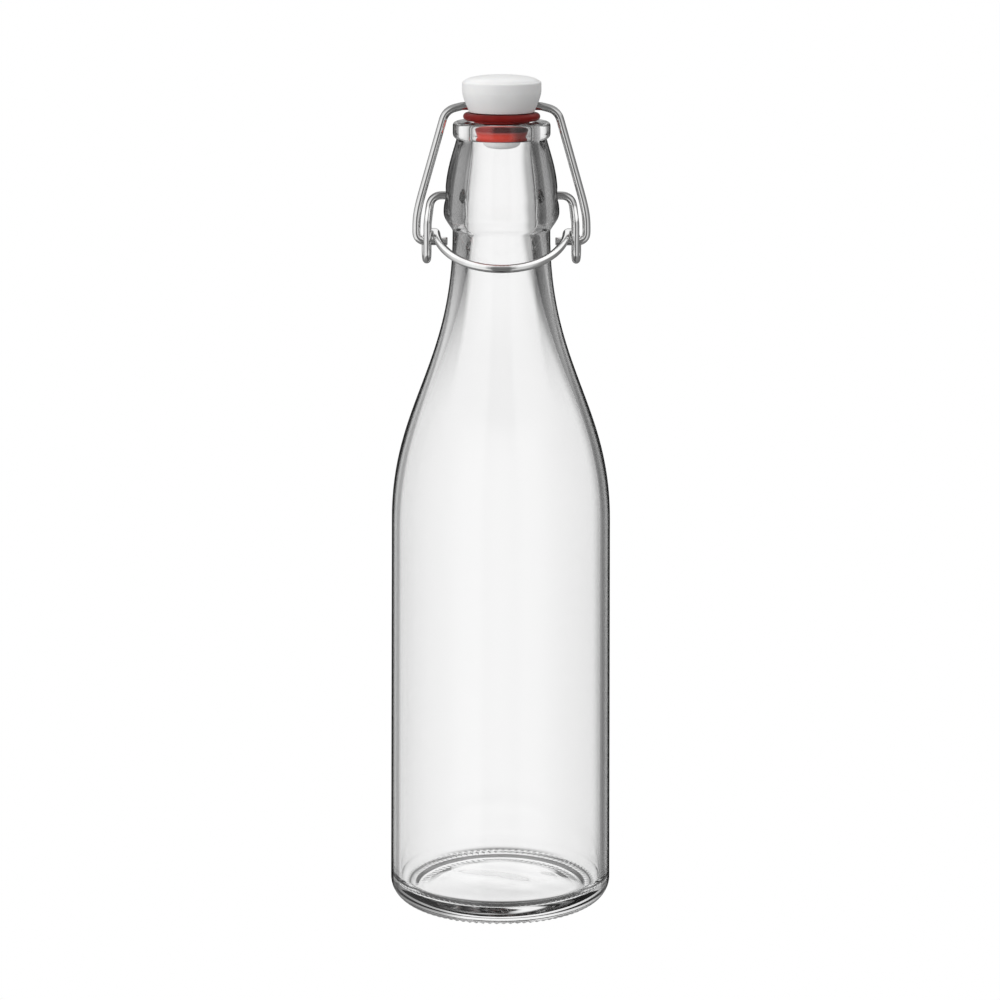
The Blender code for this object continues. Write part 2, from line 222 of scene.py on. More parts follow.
def arc(center, radius, start_degrees, end_degrees, steps):
    """Points along a circular arc, both ends included."""
    points = []
    for index in range(steps + 1):
        angle = math.radians(start_degrees + (end_degrees - start_degrees) * index / steps)
        points.append((center[0] + radius * math.cos(angle), center[1] + radius * math.sin(angle)))
    return points


def line(start, end, steps):
    """Points along a straight line, both ends included."""
    points = []
    for index in range(steps + 1):
        t = index / steps
        points.append(tuple(a + (b - a) * t for a, b in zip(start, end)))
    return points


def ease(share):
    """From 0 to 1, starting and ending softly, and held there beyond."""
    share = min(max(share, 0.0), 1.0)
    return share * share * (3 - 2 * share)


def without_repeats(points, least=SAME_POINT):
    """The same points, less each one that lies within the least distance of the one before it."""
    kept = [points[0]]
    for point in points[1:]:
        if math.dist(point, kept[-1]) > least:
            kept.append(point)
    return kept


# Mesh makers --------------------------------------------------------------------------------


def new_piece(name, bm, material, body, node, sharp_degrees=SHARP_ANGLE):
    """A piece from a bmesh in millimetres, riding on a body and standing for a CAD node."""
    bmesh.ops.scale(bm, vec=(MM, MM, MM), verts=bm.verts)
    mesh = bpy.data.meshes.new(name)
    bm.to_mesh(mesh)
    bm.free()
    mesh.shade_smooth()
    mesh.set_sharp_from_angle(angle=math.radians(sharp_degrees))
    mesh.materials.append(material)
    piece = bpy.data.objects.new(name, mesh)
    bpy.context.scene.collection.objects.link(piece)
    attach(piece, body)
    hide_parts(node)
    return piece


def turned_ring(bm, radius, height, steps, shape):
    """The profile point's vertices: one on the axis, or a ring whose points shape may move."""
    if radius < ON_AXIS:
        return [bm.verts.new((0.0, 0.0, height))]
    ring = []
    for index in range(steps):
        place = (radius, 2 * math.pi * index / steps, height)
        r, angle, z = shape(*place) if shape else place
        ring.append(bm.verts.new((r * math.cos(angle), r * math.sin(angle), z)))
    return ring


def turned(profile, steps, closed=False, shape=None):
    """A solid of revolution about Z, from a profile whose outer side runs down."""
    bm = bmesh.new()
    rings = [turned_ring(bm, *point, steps, shape) for point in without_repeats(profile)]
    pairs = list(zip(rings, rings[1:]))
    if closed:
        pairs.append((rings[-1], rings[0]))
    for upper, lower in pairs:
        for index in range(steps):
            after = (index + 1) % steps
            if len(upper) == 1:
                bm.faces.new((upper[0], lower[index], lower[after]))
            elif len(lower) == 1:
                bm.faces.new((upper[index], lower[0], upper[after]))
            else:
                bm.faces.new((upper[index], lower[index], lower[after], upper[after]))
    return bm


def even_path(points):
    """The path with evenly spaced points, its small corners softened by averaging neighbours."""
    points = [Vector(p) for p in points]
    lengths = [0.0]
    for before, after in zip(points, points[1:]):
        lengths.append(lengths[-1] + (after - before).length)
    count = round(lengths[-1] / WIRE_SPACING)
    result = []
    segment = 0
    for index in range(count + 1):
        target = lengths[-1] * index / count
        while segment < len(points) - 2 and lengths[segment + 1] < target:
            segment += 1
        share = (target - lengths[segment]) / (lengths[segment + 1] - lengths[segment])
        result.append(points[segment].lerp(points[segment + 1], share))
    for _ in range(WIRE_SOFTENING):
        middle = [(a + 2 * b + c) / 4 for a, b, c in zip(result, result[1:], result[2:])]
        result = [result[0]] + middle + [result[-1]]
    return result


def wire_stations(points):
    """At each point: the wire's direction, a side that doesn't twist, its radius and the way so far."""
    directions = []
    for index in range(len(points)):
        before = points[max(index - 1, 0)]
        after = points[min(index + 1, len(points) - 1)]
        directions.append((after - before).normalized())
    side = directions[0].orthogonal().normalized()
    stations = []
    travelled = 0.0
    for index, (point, direction) in enumerate(zip(points, directions)):
        side = (side - direction * side.dot(direction)).normalized()
        if index:
            travelled += (point - points[index - 1]).length
        stations.append((point, direction, side, WIRE_RADIUS, travelled))
    return stations


def rounded_end(station, sign):
    """Smaller and smaller stations beyond a wire's first (-1) or last (1) one, up to its end face."""
    point, direction, side, radius, along = station
    stations = []
    for step in WIRE_END_STEPS:
        inset = WIRE_END_ROUNDING * (1 - math.sqrt(1 - step * step))
        reach = sign * WIRE_END_ROUNDING * step
        stations.append((point + direction * reach, direction, side, radius - inset, along + reach))
    return stations


def swept_wire(points):
    """A round wire along points, with rounded ends and a UV map that runs round and along it."""
    stations = wire_stations(points)
    start = rounded_end(stations[0], -1)
    stations = start[::-1] + stations + rounded_end(stations[-1], 1)
    bm = bmesh.new()
    uv = bm.loops.layers.uv.new(WIRE_UV)
    rings = []
    for point, direction, side, radius, _ in stations:
        up = direction.cross(side)
        ring = []
        for index in range(WIRE_SIDES):
            angle = 2 * math.pi * index / WIRE_SIDES
            ring.append(bm.verts.new(point + (side * math.cos(angle) + up * math.sin(angle)) * radius))
        rings.append(ring)
    for row, (lower, upper) in enumerate(zip(rings, rings[1:])):
        near = stations[row][-1]
        far = stations[row + 1][-1]
        for index in range(WIRE_SIDES):
            after = (index + 1) % WIRE_SIDES
            face = bm.faces.new((lower[index], lower[after], upper[after], upper[index]))
            corners = ((index, near), (index + 1, near), (index + 1, far), (index, far))
            for loop, (around, along) in zip(face.loops, corners):
                loop[uv].uv = (around / WIRE_SIDES, along)
    bm.faces.new(rings[0][::-1])
    bm.faces.new(rings[-1])
    bmesh.ops.recalc_face_normals(bm, faces=bm.faces)
    return bm


# Materials ----------------------------------------------------------------------------------


def grey(tone):
    return (tone, tone, tone)


WHITE = grey(1.0)


class Nodes:
    """Short calls for building the node tree of a material or of the world.

    A value for a node is a number, a vector, a colour of three numbers, or another node's output.
    """

    def __init__(self, owner):
        owner.use_nodes = True
        self.tree = owner.node_tree
        self.tree.nodes.clear()

    def node(self, kind, inputs=None, **settings):
        """A new node with these settings, and with values for inputs by name or number."""
        node = self.tree.nodes.new(kind)
        for name, value in settings.items():
            setattr(node, name, value)
        for name, value in (inputs or {}).items():
            socket = node.inputs[name]
            if isinstance(value, bpy.types.NodeSocket):
                self.tree.links.new(value, socket)
            elif socket.type == "RGBA":
                socket.default_value = (*value, 1.0)
            else:
                socket.default_value = value
        return node

    def object_place(self, owner=None):
        """Where a point is in its object's axes, or in those of another object."""
        return self.node("ShaderNodeTexCoord", object=owner).outputs["Object"]

    def split(self, vector):
        return self.node("ShaderNodeSeparateXYZ", {"Vector": vector}).outputs

    def noise(self, vector, scale, detail):
        inputs = {"Vector": vector, "Scale": scale, "Detail": detail}
        return self.node("ShaderNodeTexNoise", inputs).outputs["Fac"]

    def stretched(self, vector, scale):
        return self.node("ShaderNodeMapping", {"Vector": vector, "Scale": scale}).outputs["Vector"]

    def bump(self, height, strength, distance):
        inputs = {"Height": height, "Strength": strength, "Distance": distance}
        return self.node("ShaderNodeBump", inputs).outputs["Normal"]

    def ramp(self, factor, stops, interpolation="LINEAR"):
        """The colour at the factor, between stops of a position and a colour."""
        node = self.node("ShaderNodeValToRGB", {"Fac": factor})
        node.color_ramp.interpolation = interpolation
        elements = node.color_ramp.elements
        while len(elements) < len(stops):
            elements.new(0.5)
        for element, (position, color) in zip(elements, stops):
            element.position = position
            element.color = (*color, 1.0)
        return node.outputs["Color"]

    def grey_ramp(self, factor, tones, interpolation="LINEAR"):
        return self.ramp(factor, [(stop, grey(tone)) for stop, tone in tones], interpolation)

    def fade(self, value, start, end, low=0.0, high=1.0, kind="SMOOTHSTEP"):
        """From low where the value is at start to high where it is at end."""
        if start > end:
            start, end, low, high = end, start, high, low
        inputs = {"Value": value, "From Min": start, "From Max": end, "To Min": low, "To Max": high}
        return self.node("ShaderNodeMapRange", inputs, interpolation_type=kind).outputs["Result"]

    def fade_mm(self, length, start, end, low=0.0, high=1.0, kind="SMOOTHSTEP"):
        """The same for a length in metres, with start and end in millimetres."""
        return self.fade(length, start * MM, end * MM, low, high, kind)

    def span(self, share, low, high):
        """From low to high as the share goes from 0 to 1."""
        return self.fade(share, 0.0, 1.0, low, high, "LINEAR")

    def compute(self, operation, first, second=None):
        inputs = {0: first}
        if second is not None:
            inputs[1] = second
        return self.node("ShaderNodeMath", inputs, operation=operation).outputs["Value"]

    def times(self, first, *others):
        for other in others:
            first = self.compute("MULTIPLY", first, other)
        return first

    def vector(self, operation, *inputs):
        return self.node("ShaderNodeVectorMath", dict(enumerate(inputs)), operation=operation).outputs

    def mix(self, share, first, second, blend="MIX"):
        """The first colour, turned by the share into the second or into the product of both."""
        inputs = {0: share, 6: first, 7: second}
        return self.node("ShaderNodeMix", inputs, data_type="RGBA", blend_type=blend).outputs[2]

    def mix_numbers(self, share, first, second):
        return self.node("ShaderNodeMix", {0: share, 2: first, 3: second}).outputs[0]

    def mix_shaders(self, share, first, second):
        return self.node("ShaderNodeMixShader", {0: share, 1: first, 2: second}).outputs["Shader"]

    def surface(self, shader, output="ShaderNodeOutputMaterial"):
        self.node(output, {"Surface": shader})


def start_material(name):
    """A new material and its empty node tree."""
    material = bpy.data.materials.new(name)
    return material, Nodes(material)


GLASS_IOR = 1.5
# Painted shade on the glass: its tones by how edge on it is seen, a darker collar, and a dark outline
# at the very edge.
OUTER_EDGE_TONES = ((0.0, 0.995), (0.57, 0.97), (0.60, 0.84), (0.64, 0.22), (0.69, 0.20), (0.75, 0.42))
INNER_EDGE_TONES = ((0.0, 0.995), (1.0, 0.99))
COLLAR_EDGE_TONE = 0.11
COLLAR_EDGE_FADE = (0.19, 0.27)
COLLAR_BOTTOM_FADE = (COLLAR_BOTTOM - 60.0, COLLAR_BOTTOM - 4.0)
COLLAR_TOP_FADE = (LIP_UNDERCUT_HEIGHT + 2.0, LIP_UNDERCUT_HEIGHT - 1.0)
OUTLINE_TONE = 0.04
OUTLINE_FADE = (0.72, 0.85)
# How much a face leans back, and how steeply it is seen, where it stops counting as edge on.
LEAN_FADE = (0.35, 0.85)
STEEP_VIEW_FADE = (0.55, 0.85)


def edge_on(n):
    """How far a standing wall of glass is turned away from the eye, seen in plan: 0 is face on.

    It is also 0 on faces that lean far back, and in steep views from above or below.
    """
    geometry = n.node("ShaderNodeNewGeometry").outputs
    in_plan = []
    for name in ("Normal", "Incoming"):
        level = n.vector("MULTIPLY", geometry[name], (1.0, 1.0, 0.0))["Vector"]
        in_plan.append(n.vector("NORMALIZE", level)["Vector"])
    face_on = n.compute("ABSOLUTE", n.vector("DOT_PRODUCT", *in_plan)["Value"])
    slope = n.compute("ABSOLUTE", n.split(geometry["Normal"])["Z"])
    dive = n.compute("ABSOLUTE", n.split(geometry["Incoming"])["Z"])
    standing = n.fade(slope, *LEAN_FADE, 1.0, 0.0)
    seen_level = n.fade(dive, *STEEP_VIEW_FADE, 1.0, 0.0)
    return n.times(n.span(face_on, 1.0, 0.0), standing, seen_level)


def let_light_in(n, glass):
    """Lets the lamp and the soft light reach what is behind the glass."""
    rays = n.node("ShaderNodeLightPath").outputs
    clear = n.node("ShaderNodeBsdfTransparent").outputs["BSDF"]
    either = n.compute("MAXIMUM", rays["Is Shadow Ray"], rays["Is Diffuse Ray"])
    return n.mix_shaders(either, glass, clear)


def darker_collar(n, place, facing, painted_edge_shade):
    """Painted shade: the thick glass of the neck and collar is made darker towards its edges than the
    walls are.
    """
    height = n.split(place)["Z"]
    bottom = n.fade_mm(height, *COLLAR_BOTTOM_FADE)
    top = n.fade_mm(height, *COLLAR_TOP_FADE)
    edge = n.fade(facing, *COLLAR_EDGE_FADE)
    return n.mix(n.times(bottom, top, edge), painted_edge_shade, grey(COLLAR_EDGE_TONE), "MULTIPLY")


def clear_glass(n, painted_edge_shade, **more):
    """Smooth glass, darkened where light enters it by the painted edge shade it is given."""
    inputs = {"Base Color": painted_edge_shade, "Roughness": 0.0, "IOR": GLASS_IOR, "Transmission Weight": 1.0}
    return n.node("ShaderNodeBsdfPrincipled", {**inputs, **more}).outputs["BSDF"]


def outer_glass_material():
    """The bottle's outside: clear glass with the slight waves of a moulded surface.

    The tones darken it where it is seen edge on, and a dark glass draws its outline: painted shade, in
    place of the dark edges that the dark sides of a studio give real glass.
    """
    material, n = start_material("clear_glass")
    place = n.object_place()
    facing = edge_on(n)
    painted_edge_shade = darker_collar(n, place, facing, n.grey_ramp(facing, OUTER_EDGE_TONES))
    slow = n.noise(n.stretched(place, (1.0, 1.0, 0.3)), scale=45.0, detail=0.0)
    wavy = n.bump(slow, strength=0.25, distance=0.2 * MM)
    glass = clear_glass(n, painted_edge_shade, Normal=wavy)
    dark = {"Color": grey(OUTLINE_TONE), "Roughness": 0.0, "IOR": GLASS_IOR, "Normal": wavy}
    outline = n.node("ShaderNodeBsdfGlass", dark).outputs["BSDF"]
    outlined = n.mix_shaders(n.fade(facing, *OUTLINE_FADE), glass, outline)
    n.surface(let_light_in(n, outlined))
    return material


def inner_glass_material():
    """The bottle's inside: clear glass without waves or dark edges."""
    material, n = start_material("clear_glass_inside")
    glass = clear_glass(n, n.grey_ramp(edge_on(n), INNER_EDGE_TONES))
    n.surface(let_light_in(n, glass))
    return material


def plastic_material():
    """White moulded plastic: satin, a little translucent, with a fine moulded grain."""
    material, n = start_material("white_plastic")
    place = n.object_place()
    cloud = n.noise(place, scale=90.0, detail=3.0)
    grain = n.noise(place, scale=2500.0, detail=2.0)
    inputs = {
        "Base Color": n.ramp(cloud, ((0.3, grey(0.84)), (0.7, (0.89, 0.89, 0.885)))),
        "Roughness": n.span(cloud, 0.3, 0.42),
        "Subsurface Weight": 0.15,
        "Subsurface Radius": (2.0 * MM, 1.8 * MM, 1.6 * MM),
        "Subsurface Scale": 1.0,
        "Normal": n.bump(grain, strength=0.12, distance=0.05 * MM),
    }
    n.surface(n.node("ShaderNodeBsdfPrincipled", inputs).outputs["BSDF"])
    return material


# Painted light and shade on the gasket's skirt, as it looks through the lip, from its bottom (0) up to
# its ring (1).
PLUG_TONES = (
    (0.03, (0.16, 0.006, 0.004)),
    (0.10, (0.80, 0.050, 0.022)),
    (0.26, (0.95, 0.075, 0.035)),
    (0.42, (0.72, 0.040, 0.022)),
    (0.50, (0.60, 0.100, 0.080)),
    (0.56, (0.34, 0.016, 0.014)),
    (0.80, (0.38, 0.018, 0.018)),
    (0.95, (0.46, 0.030, 0.028)),
)
RING_FADE = (GASKET_RING_BOTTOM - 0.4, GASKET_RING_BOTTOM)
# Its shades: at the right, in a patch on the upper part, and in mirrors.
RIGHT_SHADE = 0.38
RIGHT_FADE = (5.0, 2.4)
PATCH_SHADE = 0.22
PATCH_LEFT_FADE = (-4.0, -1.5)
PATCH_BOTTOM_FADE = (0.48, 0.56)
PATCH_TOP_FADE = (0.97, 0.86)
MIRRORED_SHADE = 0.3


def skirt_color(n, x, z):
    """The skirt's painted light and shade: its tones with the painted shades over them."""
    depth = n.fade_mm(z, GASKET_SKIRT_BOTTOM, GASKET_RING_BOTTOM, kind="LINEAR")
    right = n.fade_mm(x, *RIGHT_FADE, low=RIGHT_SHADE)
    upper = n.times(n.fade(depth, *PATCH_BOTTOM_FADE), n.fade(depth, *PATCH_TOP_FADE))
    patch = n.times(upper, n.fade_mm(x, *PATCH_LEFT_FADE))
    mirrored = n.node("ShaderNodeLightPath").outputs["Is Reflection Ray"]
    lit = n.times(right, n.span(patch, 1.0, PATCH_SHADE), n.span(mirrored, 1.0, MIRRORED_SHADE))
    return n.mix(1.0, n.ramp(depth, PLUG_TONES), lit, "MULTIPLY")


def rubber_material():
    """Red rubber, smooth from the mould, with faint clouds and a fine grain, and painted light and
    shade on its skirt.
    """
    material, n = start_material("red_rubber")
    place = n.object_place()
    axes = n.split(place)
    cloud = n.noise(place, scale=260.0, detail=4.0)
    grain = n.noise(place, scale=4000.0, detail=2.0)
    ring = n.ramp(cloud, ((0.3, (0.17, 0.008, 0.007)), (0.75, (0.22, 0.012, 0.010))))
    on_ring = n.fade_mm(axes["Z"], *RING_FADE)
    inputs = {
        "Base Color": n.mix(on_ring, skirt_color(n, axes["X"], axes["Z"]), ring),
        "Roughness": n.span(cloud, 0.28, 0.42),
        "Specular IOR Level": 0.12,
        "Normal": n.bump(grain, strength=0.15, distance=0.04 * MM),
    }
    n.surface(n.node("ShaderNodeBsdfPrincipled", inputs).outputs["BSDF"])
    return material


# The wire's painted reflections, as tones from face on (0) to edge on (1), and its painted shade on
# top, from the pivots up.
STEEL_TONES = ((0.0, 0.55), (0.04, 0.85), (0.30, 0.95), (0.55, 0.80), (0.75, 0.45), (0.92, 0.18))
STEEL_BLUE = 0.995
TOP_SHADE = 0.3
TOP_SHADE_RISE = (PIVOT_HEIGHT - 4.0, PIVOT_HEIGHT - 1.0)
TOP_SHADE_SLOPE = (0.1, 0.6)


def steel_material():
    """Bright drawn wire: fine lines along its length, small random changes in how polished it is,
    painted reflections and a painted shade on its top.
    """
    material, n = start_material("steel_wire")
    place = n.object_place()
    along = n.node("ShaderNodeUVMap", uv_map=WIRE_UV).outputs["UV"]
    lines = n.noise(n.stretched(along, (60.0, 0.25, 1.0)), scale=1.0, detail=3.0)
    cloud = n.noise(place, scale=300.0, detail=3.0)
    facing = n.node("ShaderNodeLayerWeight").outputs["Facing"]
    tones = n.ramp(facing, [(stop, (tone, tone, tone * STEEL_BLUE)) for stop, tone in STEEL_TONES])
    painted_reflection_and_polish = n.mix(1.0, tones, n.grey_ramp(cloud, ((0.3, 0.92), (0.7, 1.0))), "MULTIPLY")
    normal = n.node("ShaderNodeNewGeometry").outputs["Normal"]
    upward = n.fade(n.split(normal)["Z"], *TOP_SHADE_SLOPE)
    high = n.fade_mm(n.split(place)["Z"], *TOP_SHADE_RISE)
    inputs = {
        "Base Color": n.mix(n.times(high, upward), painted_reflection_and_polish, grey(TOP_SHADE), "MULTIPLY"),
        "Metallic": 1.0,
        "Roughness": n.span(lines, 0.08, 0.2),
        "Normal": n.bump(lines, strength=0.1, distance=0.03 * MM),
    }
    n.surface(n.node("ShaderNodeBsdfPrincipled", inputs).outputs["BSDF"])
    return material


# Pieces -------------------------------------------------------------------------------------


def outer_shoulder():
    """From the neck down to the body."""
    return bezier(
        (NECK_RADIUS, SHOULDER_TOP),
        (NECK_RADIUS, SHOULDER_TOP - SHOULDER_UPPER_HANDLE),
        (BODY_RADIUS, SHOULDER_BOTTOM + SHOULDER_LOWER_HANDLE),
        (BODY_RADIUS, SHOULDER_BOTTOM),
        SHOULDER_STEPS,
    )


def inner_shoulder():
    """The outer shoulder set in by a wall that thickens towards the neck."""
    outer = outer_shoulder()
    inner = []
    for index, (radius, height) in enumerate(outer):
        before = outer[max(index - 1, 0)]
        after = outer[min(index + 1, SHOULDER_STEPS)]
        along = Vector((after[0] - before[0], after[1] - before[1])).normalized()
        share = 1 - index / SHOULDER_STEPS
        wall = WALL + (NECK_WALL - WALL) * share ** WALL_GROWTH
        inner.append((radius + along.y * wall, height - along.x * wall))
    return inner


def lip_outside():
    """From the lip's face down its bead to the undercut."""
    edge = bezier(
        (LIP_FACE_RADIUS, LIP_TOP),
        (LIP_RADIUS - 0.7, LIP_TOP),
        (LIP_RADIUS, LIP_TOP - 0.4),
        (LIP_RADIUS, LIP_TOP - LIP_EDGE_DEPTH),
        steps=14,
    )
    bead = bezier(
        (LIP_RADIUS, LIP_BEAD_BOTTOM),
        (LIP_RADIUS, LIP_UNDERCUT_HEIGHT + 0.8),
        (LIP_UNDERCUT_RADIUS + 0.6, LIP_UNDERCUT_HEIGHT + 0.1),
        (LIP_UNDERCUT_RADIUS, LIP_UNDERCUT_HEIGHT),
        steps=10,
    )
    return edge + bead


def collar_outside():
    """From the undercut down over the collar and its ledge to the neck."""
    upper = bezier(
        (LIP_UNDERCUT_RADIUS, LIP_UNDERCUT_HEIGHT),
        (LIP_UNDERCUT_RADIUS + 0.8, LIP_UNDERCUT_HEIGHT - 3.5),
        (COLLAR_WAIST_RADIUS - 0.3, COLLAR_WAIST_HEIGHT + 7.0),
        (COLLAR_WAIST_RADIUS, COLLAR_WAIST_HEIGHT),
        steps=60,
    )
    lower = bezier(
        (COLLAR_WAIST_RADIUS, COLLAR_WAIST_HEIGHT),
        (COLLAR_WAIST_RADIUS, COLLAR_WAIST_HEIGHT - 3.5),
        (COLLAR_RADIUS, COLLAR_BOTTOM + 5.0),
        (COLLAR_RADIUS, LEDGE_TOP),
        steps=30,
    )
    ledge = bezier(
        (COLLAR_RADIUS, LEDGE_TOP),
        (COLLAR_RADIUS, COLLAR_BOTTOM - 0.2),
        (NECK_RADIUS + 0.5, COLLAR_BOTTOM - 2.3),
        (NECK_RADIUS, LEDGE_BOTTOM),
        steps=16,
    )
    return upper + lower + ledge


def bottle_outside():
    """From the lip's face down to the middle of the hollow under the base."""
    heel = arc((BODY_RADIUS - HEEL_RADIUS, HEEL_RADIUS), HEEL_RADIUS, 0, -90, steps=24)
    body = line((BODY_RADIUS, SHOULDER_BOTTOM), heel[0], steps=20)
    ring = line(heel[-1], (STANDING_RING_INNER, 0.0), steps=4)
    punt = bezier(
        (STANDING_RING_INNER, 0.0),
        (STANDING_RING_INNER - 2.4, PUNT_HEIGHT * 0.3),
        (STANDING_RING_INNER * 0.75, PUNT_HEIGHT),
        (0.0, PUNT_HEIGHT),
        steps=24,
    )
    return lip_outside() + collar_outside() + outer_shoulder() + body + heel + ring + punt


def neck_inside():
    """From the shoulder up through the hollow in the collar and the bore to the lip's face."""
    neck_radius = NECK_RADIUS - NECK_WALL
    cavity_bottom = bezier(
        (neck_radius, SHOULDER_TOP),
        (neck_radius, SHOULDER_TOP + 2.2),
        (CAVITY_RADIUS, CAVITY_WIDEST_HEIGHT - 2.8),
        (CAVITY_RADIUS, CAVITY_WIDEST_HEIGHT),
        steps=20,
    )
    cavity = bezier(
        (CAVITY_RADIUS, CAVITY_WIDEST_HEIGHT),
        (CAVITY_RADIUS, CAVITY_WIDEST_HEIGHT + 8.5),
        (BORE_RADIUS, CAVITY_TOP - 8.5),
        (BORE_RADIUS, CAVITY_TOP),
        steps=40,
    )
    mouth_center = (BORE_RADIUS + MOUTH_ROUNDING, LIP_TOP - MOUTH_ROUNDING)
    mouth = arc(mouth_center, MOUTH_ROUNDING, 180, 90, steps=8)
    bore = line(cavity[-1], mouth[0], steps=8)
    return cavity_bottom + cavity + bore + mouth


def bottle_inside():
    """From the middle of the floor up to the lip's face."""
    floor = bezier(
        (0.0, FLOOR_HEIGHT + FLOOR_CROWN),
        (FLOOR_CORNER_RADIUS * 0.4, FLOOR_HEIGHT + FLOOR_CROWN),
        (FLOOR_CORNER_RADIUS * 0.6, FLOOR_HEIGHT),
        (FLOOR_CORNER_RADIUS, FLOOR_HEIGHT),
        steps=14,
    )
    corner_center = (FLOOR_CORNER_RADIUS, FLOOR_HEIGHT + FLOOR_CORNER)
    corner = arc(corner_center, FLOOR_CORNER, -90, 0, steps=16)
    shoulder = inner_shoulder()[::-1]
    body = line(corner[-1], shoulder[0], steps=20)
    return floor + corner + body + shoulder + neck_inside()


def dimpled(radius, angle, height):
    """The collar's radius, pressed in at both ends of the lever's axis."""
    for middle in (0.0, math.pi, 2 * math.pi):
        distance = math.hypot((angle - middle) * radius, height - PIVOT_HEIGHT)
        share = (distance - DIMPLE_FLOOR_RADIUS) / (DIMPLE_RADIUS - DIMPLE_FLOOR_RADIUS)
        radius -= DIMPLE_DEPTH * (1 - ease(share))
    return radius


def floor_wave(radius, angle):
    """How far the uneven floor inside rises at a point. It is even towards its corner."""
    x = radius * math.cos(angle)
    y = radius * math.sin(angle)
    flat = ease(1 - radius / FLOOR_CORNER_RADIUS)
    ripple = math.sin(0.32 * y + 0.5 * math.sin(0.21 * x))
    ripple += 0.6 * math.sin(0.27 * x + 0.55 * y + 1.3)
    return FLOOR_WAVES * flat * ripple


def knurl(radius, angle):
    """How far the ridges round the underside rise at a point."""
    share = (radius - KNURL_INNER) / (KNURL_OUTER - KNURL_INNER)
    return KNURL_DEPTH * math.sin(math.pi * share) ** 2 * (0.5 - 0.5 * math.cos(KNURLS * angle))


def glass_detail(radius, angle, height):
    """Adds the dimples, the waves of the floor and the ridges to a point of the turned glass."""
    if radius > COLLAR_OUTSIDE_FROM and abs(height - PIVOT_HEIGHT) < DIMPLE_RADIUS:
        radius = dimpled(radius, angle, height)
    floor_top = FLOOR_HEIGHT + FLOOR_CROWN + FLOOR_MARGIN
    if FLOOR_HEIGHT - FLOOR_MARGIN < height < floor_top and radius < FLOOR_CORNER_RADIUS:
        height += floor_wave(radius, angle)
    if height < KNURL_TOP and KNURL_INNER < radius < KNURL_OUTER:
        height += knurl(radius, angle)
    return radius, angle, height


def make_bottle():
    inside = bottle_inside()
    bm = turned(inside + bottle_outside(), GLASS_STEPS, shape=glass_detail)
    material = outer_glass_material()
    piece = new_piece("bottle_glass", bm, material, "bottle", "bottle", GLASS_SHARP_ANGLE)
    piece.data.materials.append(inner_glass_material())
    inner_faces = (len(without_repeats(inside)) - 1) * GLASS_STEPS
    for face in piece.data.polygons[:inner_faces]:
        face.material_index = 1


def stopper_profile():
    """From the top of the head down to the middle of the foot."""
    edge_center = (HEAD_RADIUS - HEAD_EDGE_ROUNDING, HEAD_EDGE - HEAD_EDGE_ROUNDING)
    crown = bezier(
        (0.0, HEAD_TOP),
        (HEAD_RADIUS * 0.5, HEAD_TOP),
        (HEAD_RADIUS * 0.88, HEAD_EDGE + HEAD_CROWN * 0.65),
        (edge_center[0], HEAD_EDGE),
        steps=24,
    )
    edge = arc(edge_center, HEAD_EDGE_ROUNDING, 75, 0, steps=10)
    under_center = (HEAD_BOTTOM_RADIUS - HEAD_BOTTOM_ROUNDING, HEAD_BOTTOM + HEAD_BOTTOM_ROUNDING)
    side = bezier(
        (HEAD_RADIUS, HEAD_SHOULDER),
        (HEAD_RADIUS - 0.2, HEAD_SHOULDER - 2.2),
        (HEAD_BOTTOM_RADIUS + 0.7, HEAD_BOTTOM + 2.0),
        (HEAD_BOTTOM_RADIUS, under_center[1]),
        steps=22,
    )
    under_edge = arc(under_center, HEAD_BOTTOM_ROUNDING, -10, -90, steps=4)
    stem = [(STEM_RADIUS, HEAD_BOTTOM), (STEM_RADIUS, FOOT_TOP)]
    foot = [(FOOT_RADIUS - FOOT_TOP_BEVEL, FOOT_TOP), (FOOT_RADIUS, FOOT_TOP - FOOT_TOP_BEVEL)]
    foot_center = (FOOT_RADIUS - FOOT_ROUNDING, FOOT_BOTTOM + FOOT_ROUNDING)
    foot += arc(foot_center, FOOT_ROUNDING, 0, -90, steps=12)
    return crown + edge + side + under_edge + stem + foot + [(0.0, FOOT_BOTTOM)]


def cut_wire_hole(stopper):
    """Cuts the hole for the bail's top wire through the stopper's head, from side to side."""
    bm = bmesh.new()
    bmesh.ops.create_cone(
        bm,
        cap_ends=True,
        segments=WIRE_HOLE_SIDES,
        radius1=WIRE_HOLE_RADIUS * MM,
        radius2=WIRE_HOLE_RADIUS * MM,
        depth=4 * HEAD_RADIUS * MM,
    )
    mesh = bpy.data.meshes.new("wire_hole")
    bm.to_mesh(mesh)
    bm.free()
    cutter = bpy.data.objects.new("wire_hole", mesh)
    bpy.context.scene.collection.objects.link(cutter)
    cutter.rotation_euler = (0.0, math.pi / 2, 0.0)
    cutter.location = (0.0, 0.0, TOP_WIRE_HEIGHT * MM)
    boolean = stopper.modifiers.new("hole", "BOOLEAN")
    boolean.operation = "DIFFERENCE"
    boolean.solver = "EXACT"
    boolean.object = cutter
    bpy.context.view_layer.update()
    depsgraph = bpy.context.evaluated_depsgraph_get()
    stopper_mesh = bpy.data.meshes.new_from_object(stopper.evaluated_get(depsgraph))
    stopper.modifiers.clear()
    stopper.data = stopper_mesh
    stopper_mesh.set_sharp_from_angle(angle=math.radians(HOLE_SHARP_ANGLE))
    bpy.data.objects.remove(cutter)


def make_stopper():
    bm = turned(stopper_profile(), STOPPER_STEPS)
    material = plastic_material()
    stopper = new_piece("stopper_plug", bm, material, "stopper", "stopper")
    cut_wire_hole(stopper)


